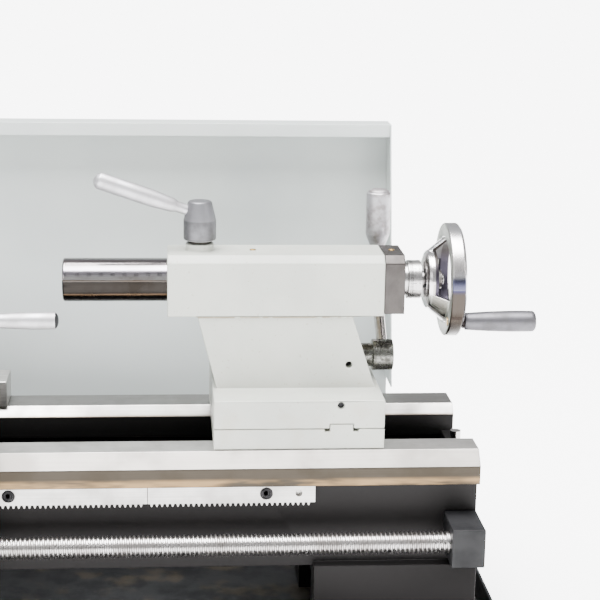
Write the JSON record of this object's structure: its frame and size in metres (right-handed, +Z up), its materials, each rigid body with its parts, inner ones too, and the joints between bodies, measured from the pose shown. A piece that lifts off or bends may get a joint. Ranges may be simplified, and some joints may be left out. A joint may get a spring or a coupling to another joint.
{
  "type": "metal lathe",
  "caption": "Bench metal lathe: cast bed with flat ways, geared headstock with three-jaw chuck, carriage, sliding tailstock with cranked handwheel, splash guard.",
  "frame": {"origin": "on the underside of the chip tray, mid-way along the bed, directly under the spindle axis", "axes": "+X along the bed from headstock to tailstock, +Y back to the splash guard, +Z up"},
  "size_m": [1.2495, 0.409, 0.464],
  "materials": {
    "ground_cast_iron": "ground ways over black-painted casting",
    "grey_green_enamel": "satin",
    "polished_steel": "polished",
    "blasted_aluminium": "bead blasted",
    "polished_aluminium": "polished rim, turned hub",
    "dark_steel": "oiled",
    "black_steel": "black oxide",
    "ground_steel": "ground",
    "black_paint": "satin",
    "brass": "turned",
    "bronze": "turned",
    "red_plastic": "gloss",
    "black_plastic": "matte",
    "belt_rubber": "matte",
    "gear_steel": "machined"
  },
  "bodies": {
    "bed": {"bed_casting": "ground_cast_iron", "tailstock_stop": "polished_steel", "gear_rack": "ground_steel", "rack_screws": "black_steel", "chip_tray": "black_paint", "splash_guard": "grey_green_enamel", "tray_bolts": "black_steel", "headstock_casting": "grey_green_enamel", "headstock_lid": "grey_green_enamel", "spindle_bearings": "gear_steel", "switch_box": "black_plastic", "motor": "black_paint", "drive_belt": "belt_rubber", "gear_backplate": "black_paint", "leadscrew_brackets": "black_paint"},
    "spindle_train": {"spindle": "polished_steel", "chuck_body": "polished_steel", "spindle_pulley": "blasted_aluminium", "spindle_gear": "gear_steel"},
    "jaw_1": {"chuck_jaw_1": "dark_steel"},
    "jaw_2": {"chuck_jaw_2": "dark_steel"},
    "jaw_3": {"chuck_jaw_3": "dark_steel"},
    "motor_rotor": {"motor_pulley": "blasted_aluminium"},
    "idler": {"idler_gear": "gear_steel"},
    "leadscrew_train": {"leadscrew": "polished_steel", "leadscrew_gear": "gear_steel"},
    "cover": {"gear_cover": "grey_green_enamel"},
    "stop_switch": {"stop_button": "red_plastic"},
    "carriage": {"saddle": "ground_cast_iron", "apron": "grey_green_enamel"},
    "apron_wheel": {"apron_handwheel": "polished_aluminium"},
    "half_nut": {"half_nut_lever": "blasted_aluminium"},
    "cross": {"cross_slide": "ground_steel"},
    "cross_wheel": {"cross_handwheel": "polished_aluminium"},
    "swivel": {"compound_swivel": "ground_steel"},
    "top_slide": {"compound_slide": "ground_steel"},
    "top_crank": {"compound_crank": "blasted_aluminium"},
    "top_grip": {"compound_handle": "blasted_aluminium"},
    "turret": {"tool_post": "dark_steel"},
    "turret_lever": {"tool_post_lever": "blasted_aluminium"},
    "tail_base": {"tailstock_base": "grey_green_enamel"},
    "tail_body": {"tailstock_body": "grey_green_enamel", "tailstock_end_cap": "ground_steel", "tailstock_screws": "black_steel", "tailstock_oilers": "brass"},
    "quill": {"quill": "polished_steel", "quill_nut": "bronze"},
    "tail_wheel": {"quill_screw": "gear_steel", "tailstock_dial": "polished_steel", "tailstock_handwheel": "polished_aluminium", "handwheel_nut": "dark_steel", "crank_stud": "brass"},
    "tail_grip": {"crank_handle": "blasted_aluminium"},
    "quill_lock": {"quill_lock_hub": "blasted_aluminium", "quill_lock_arm": "blasted_aluminium"},
    "cam_clamp": {"cam_shaft": "dark_steel", "cam_lever": "blasted_aluminium", "cam_lever_knob": "blasted_aluminium"},
    "clamp": {"clamp_bolt": "dark_steel", "clamp_plate": "black_paint"}
  },
  "joints": [
    {"name": "spindle_spin", "type": "hinge", "parent": "bed", "child": "spindle_train", "pos_m": [-0.425, 0, 0.34], "axis": [1, 0, 0], "continuous": true},
    {"name": "jaw_1_travel", "type": "slide", "parent": "spindle_train", "child": "jaw_1", "axis": [0, -1, 0], "range_m": [-0.012, 0.01]},
    {"name": "jaw_2_travel", "type": "slide", "parent": "spindle_train", "child": "jaw_2", "axis": [0, 0.5, 0.866], "range_m": [-0.012, 0.01]},
    {"name": "jaw_3_travel", "type": "slide", "parent": "spindle_train", "child": "jaw_3", "axis": [0, 0.5, -0.866], "range_m": [-0.012, 0.01]},
    {"name": "motor_spin", "type": "hinge", "parent": "bed", "child": "motor_rotor", "pos_m": [-0.57, 0.15, 0.22], "axis": [1, 0, 0], "continuous": true},
    {"name": "idler_spin", "type": "hinge", "parent": "bed", "child": "idler", "pos_m": [-0.596, -0.05146, 0.23984], "axis": [1, 0, 0], "continuous": true},
    {"name": "leadscrew_spin", "type": "hinge", "parent": "bed", "child": "leadscrew_train", "pos_m": [0, -0.112, 0.122], "axis": [1, 0, 0], "continuous": true},
    {"name": "cover_hinge", "type": "hinge", "parent": "bed", "child": "cover", "pos_m": [-0.558, 0.196, 0.2], "axis": [0, 0, 1], "range_deg": [-110, 0]},
    {"name": "stop_press", "type": "slide", "parent": "bed", "child": "stop_switch", "axis": [0, 1, 0], "range_m": [0, 0.006], "stiffness_N_per_m": 400, "springref_m": -0.004},
    {"name": "carriage_travel", "type": "slide", "parent": "bed", "child": "carriage", "axis": [1, 0, 0], "range_m": [-0.16, 0.02]},
    {"name": "apron_wheel_turn", "type": "hinge", "parent": "carriage", "child": "apron_wheel", "pos_m": [-0.023, -0.15, 0.1424], "axis": [0, 1, 0], "range_deg": [-110, 874]},
    {"name": "half_nut_turn", "type": "hinge", "parent": "carriage", "child": "half_nut", "pos_m": [0.067, -0.145, 0.1424], "axis": [0, 1, 0], "range_deg": [0, 35]},
    {"name": "cross_travel", "type": "slide", "parent": "carriage", "child": "cross", "axis": [0, 1, 0], "range_m": [-0.03, 0.055]},
    {"name": "cross_wheel_turn", "type": "hinge", "parent": "carriage", "child": "cross_wheel", "pos_m": [0.027, -0.15, 0.215], "axis": [0, 1, 0], "range_deg": [-2701, 4951]},
    {"name": "swivel_turn", "type": "hinge", "parent": "cross", "child": "swivel", "pos_m": [0.027, -0.054, 0.26], "axis": [0, 0, 1], "range_deg": [-90, 8]},
    {"name": "top_slide_travel", "type": "slide", "parent": "swivel", "child": "top_slide", "axis": [1, 0, 0], "range_m": [-0.015, 0.03]},
    {"name": "top_crank_turn", "type": "hinge", "parent": "top_slide", "child": "top_crank", "pos_m": [0.087, -0.054, 0.286], "axis": [1, 0, 0], "range_deg": [-1351, 2701]},
    {"name": "top_grip_spin", "type": "hinge", "parent": "top_crank", "child": "top_grip", "pos_m": [0.127, -0.067, 0.318], "axis": [1, 0, 0], "continuous": true},
    {"name": "turret_index", "type": "hinge", "parent": "top_slide", "child": "turret", "pos_m": [0.023, -0.054, 0.33], "axis": [0, 0, 1], "continuous": true},
    {"name": "turret_lever_turn", "type": "hinge", "parent": "turret", "child": "turret_lever", "pos_m": [0.023, -0.054, 0.36], "axis": [0, 0, 1], "range_deg": [-45, 45]},
    {"name": "tailstock_travel", "type": "slide", "parent": "bed", "child": "tail_base", "axis": [1, 0, 0], "range_m": [-0.12, 0.07]},
    {"name": "setover", "type": "slide", "parent": "tail_base", "child": "tail_body", "axis": [0, 1, 0], "range_m": [-0.008, 0.008]},
    {"name": "quill_travel", "type": "slide", "parent": "tail_body", "child": "quill", "axis": [-1, 0, 0], "range_m": [-0.085, 0.004]},
    {"name": "tail_wheel_turn", "type": "hinge", "parent": "tail_body", "child": "tail_wheel", "pos_m": [0.517, 0, 0.34], "axis": [1, 0, 0], "range_deg": [-7651, 361]},
    {"name": "tail_grip_spin", "type": "hinge", "parent": "tail_wheel", "child": "tail_grip", "pos_m": [0.567, -0.0313, 0.307], "axis": [1, 0, 0], "continuous": true},
    {"name": "quill_lock_turn", "type": "hinge", "parent": "tail_body", "child": "quill_lock", "pos_m": [0.297, 0, 0.39], "axis": [0, 0, 1], "range_deg": [-20, 70]},
    {"name": "cam_clamp_turn", "type": "hinge", "parent": "tail_body", "child": "cam_clamp", "pos_m": [0.385, 0, 0.267], "axis": [1, 0, 0], "range_deg": [-55, 0]},
    {"name": "clamp_lift", "type": "slide", "parent": "tail_body", "child": "clamp", "axis": [0, 0, 1], "range_m": [-0.00143, 0]}
  ],
  "couplings": [
    {"joint": "jaw_2_travel", "follows": "jaw_1_travel", "ratio": 1},
    {"joint": "jaw_3_travel", "follows": "jaw_1_travel", "ratio": 1},
    {"joint": "motor_spin", "follows": "spindle_spin", "ratio": 1.6084},
    {"joint": "idler_spin", "follows": "spindle_spin", "ratio": -0.41667},
    {"joint": "leadscrew_spin", "follows": "spindle_spin", "ratio": 0.625},
    {"joint": "apron_wheel_turn", "follows": "carriage_travel", "rad_per_m": -95.246},
    {"joint": "cross_wheel_turn", "follows": "cross_travel", "rad_per_m": 1570.8},
    {"joint": "top_crank_turn", "follows": "top_slide_travel", "rad_per_m": 1570.8},
    {"joint": "tail_wheel_turn", "follows": "quill_travel", "rad_per_m": 1570.8},
    {"joint": "cam_clamp_turn", "follows": "clamp_lift", "rad_per_m": 666.67}
  ]
}
